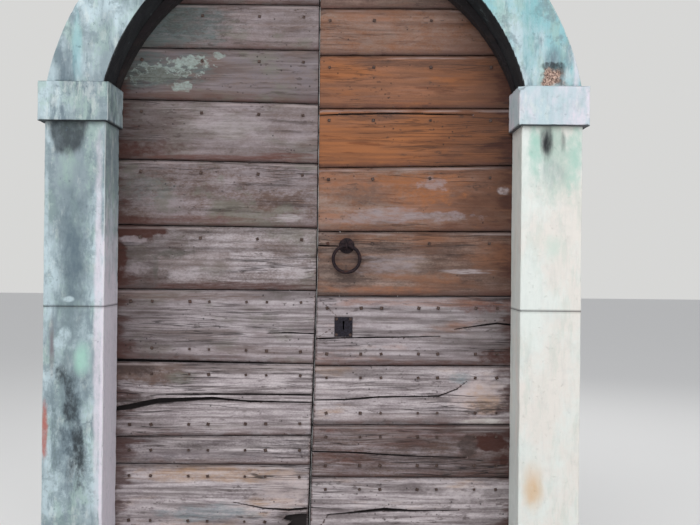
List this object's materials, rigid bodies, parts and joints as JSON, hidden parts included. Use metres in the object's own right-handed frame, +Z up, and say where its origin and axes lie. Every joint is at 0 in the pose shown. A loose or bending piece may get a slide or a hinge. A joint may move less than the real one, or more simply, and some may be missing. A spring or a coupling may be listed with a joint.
{
  "type": "arched double door",
  "caption": "Arched double door of weathered horizontal boards in a stone surround, with ring pull, lock, strap hinges and slide bolts.",
  "frame": {"origin": "middle of the threshold's underside", "axes": "+Z up, +Y into the building, +X to the right as seen from the street"},
  "size_m": [2, 0.33, 2.775],
  "materials": {
    "stone": "weathered pale limestone, green and dark streaks",
    "rim_timber": "almost black old timber",
    "left_boards": "bare weathered grey-brown boards",
    "right_boards": "weathered boards, orange-brown above and grey below",
    "inner_planks": "dull brown sawn planks",
    "nail_iron": "rusted forged nails",
    "forged_iron": "dark rusted forged iron"
  },
  "bodies": {
    "surround": {"threshold": "stone", "left_lower_jamb": "stone", "left_upper_jamb": "stone", "left_impost": "stone", "left_arch_stone": "stone", "right_lower_jamb": "stone", "right_upper_jamb": "stone", "right_impost": "stone", "right_arch_stone": "stone", "left_rim": "rim_timber", "right_rim": "rim_timber", "left_pintles": "forged_iron", "right_pintles": "forged_iron", "top_rod_bracket": "forged_iron"},
    "left_leaf": {"left_board_01": "left_boards", "left_board_02": "left_boards", "left_board_03": "left_boards", "left_board_04": "left_boards", "left_board_05": "left_boards", "left_board_06": "left_boards", "left_board_07": "left_boards", "left_board_08": "left_boards", "left_board_09": "left_boards", "left_board_10": "left_boards", "left_board_11": "left_boards", "left_plank_1": "inner_planks", "left_plank_2": "inner_planks", "left_plank_3": "inner_planks", "left_plank_4": "inner_planks", "left_nails": "nail_iron", "left_hinge_straps": "forged_iron", "lock_keeper": "forged_iron", "rod_guides": "forged_iron"},
    "right_leaf": {"right_board_01": "right_boards", "right_board_02": "right_boards", "right_board_03": "right_boards", "right_board_04": "right_boards", "right_board_05": "right_boards", "right_board_06": "right_boards", "right_board_07": "right_boards", "right_board_08": "right_boards", "right_board_09": "right_boards", "right_board_10": "right_boards", "right_board_11": "right_boards", "right_plank_1": "inner_planks", "right_plank_2": "inner_planks", "right_plank_3": "inner_planks", "right_plank_4": "inner_planks", "right_nails": "nail_iron", "right_hinge_straps": "forged_iron", "ring_eye": "forged_iron", "ring_plate": "forged_iron", "key_plate": "forged_iron", "lock_case": "forged_iron", "lock_spring": "forged_iron"},
    "pull_ring": {"pull_ring": "forged_iron"},
    "lock_bolt": {"lock_bolt": "forged_iron"},
    "top_rod": {"top_rod": "forged_iron"},
    "bottom_rod": {"bottom_rod": "forged_iron"}
  },
  "joints": [
    {"name": "left_leaf_swing", "type": "hinge", "parent": "surround", "child": "left_leaf", "pos_m": [-0.78, 0.1163, 0.33], "axis": [0, 0, 1], "range_deg": [0, 100]},
    {"name": "right_leaf_swing", "type": "hinge", "parent": "surround", "child": "right_leaf", "pos_m": [0.78, 0.1163, 0.33], "axis": [0, 0, -1], "range_deg": [0, 100]},
    {"name": "ring_swing", "type": "hinge", "parent": "right_leaf", "child": "pull_ring", "pos_m": [0.122, 0.0233, 1.4035], "axis": [-1, 0, 0], "range_deg": [0, 150]},
    {"name": "lock_bolt_throw", "type": "slide", "parent": "right_leaf", "child": "lock_bolt", "axis": [-1, 0, 0], "range_m": [0, 0.038]},
    {"name": "top_rod_slide", "type": "slide", "parent": "left_leaf", "child": "top_rod", "axis": [0, 0, 1], "range_m": [0, 0.04]},
    {"name": "bottom_rod_slide", "type": "slide", "parent": "left_leaf", "child": "bottom_rod", "axis": [0, 0, -1], "range_m": [0, 0.04]}
  ]
}
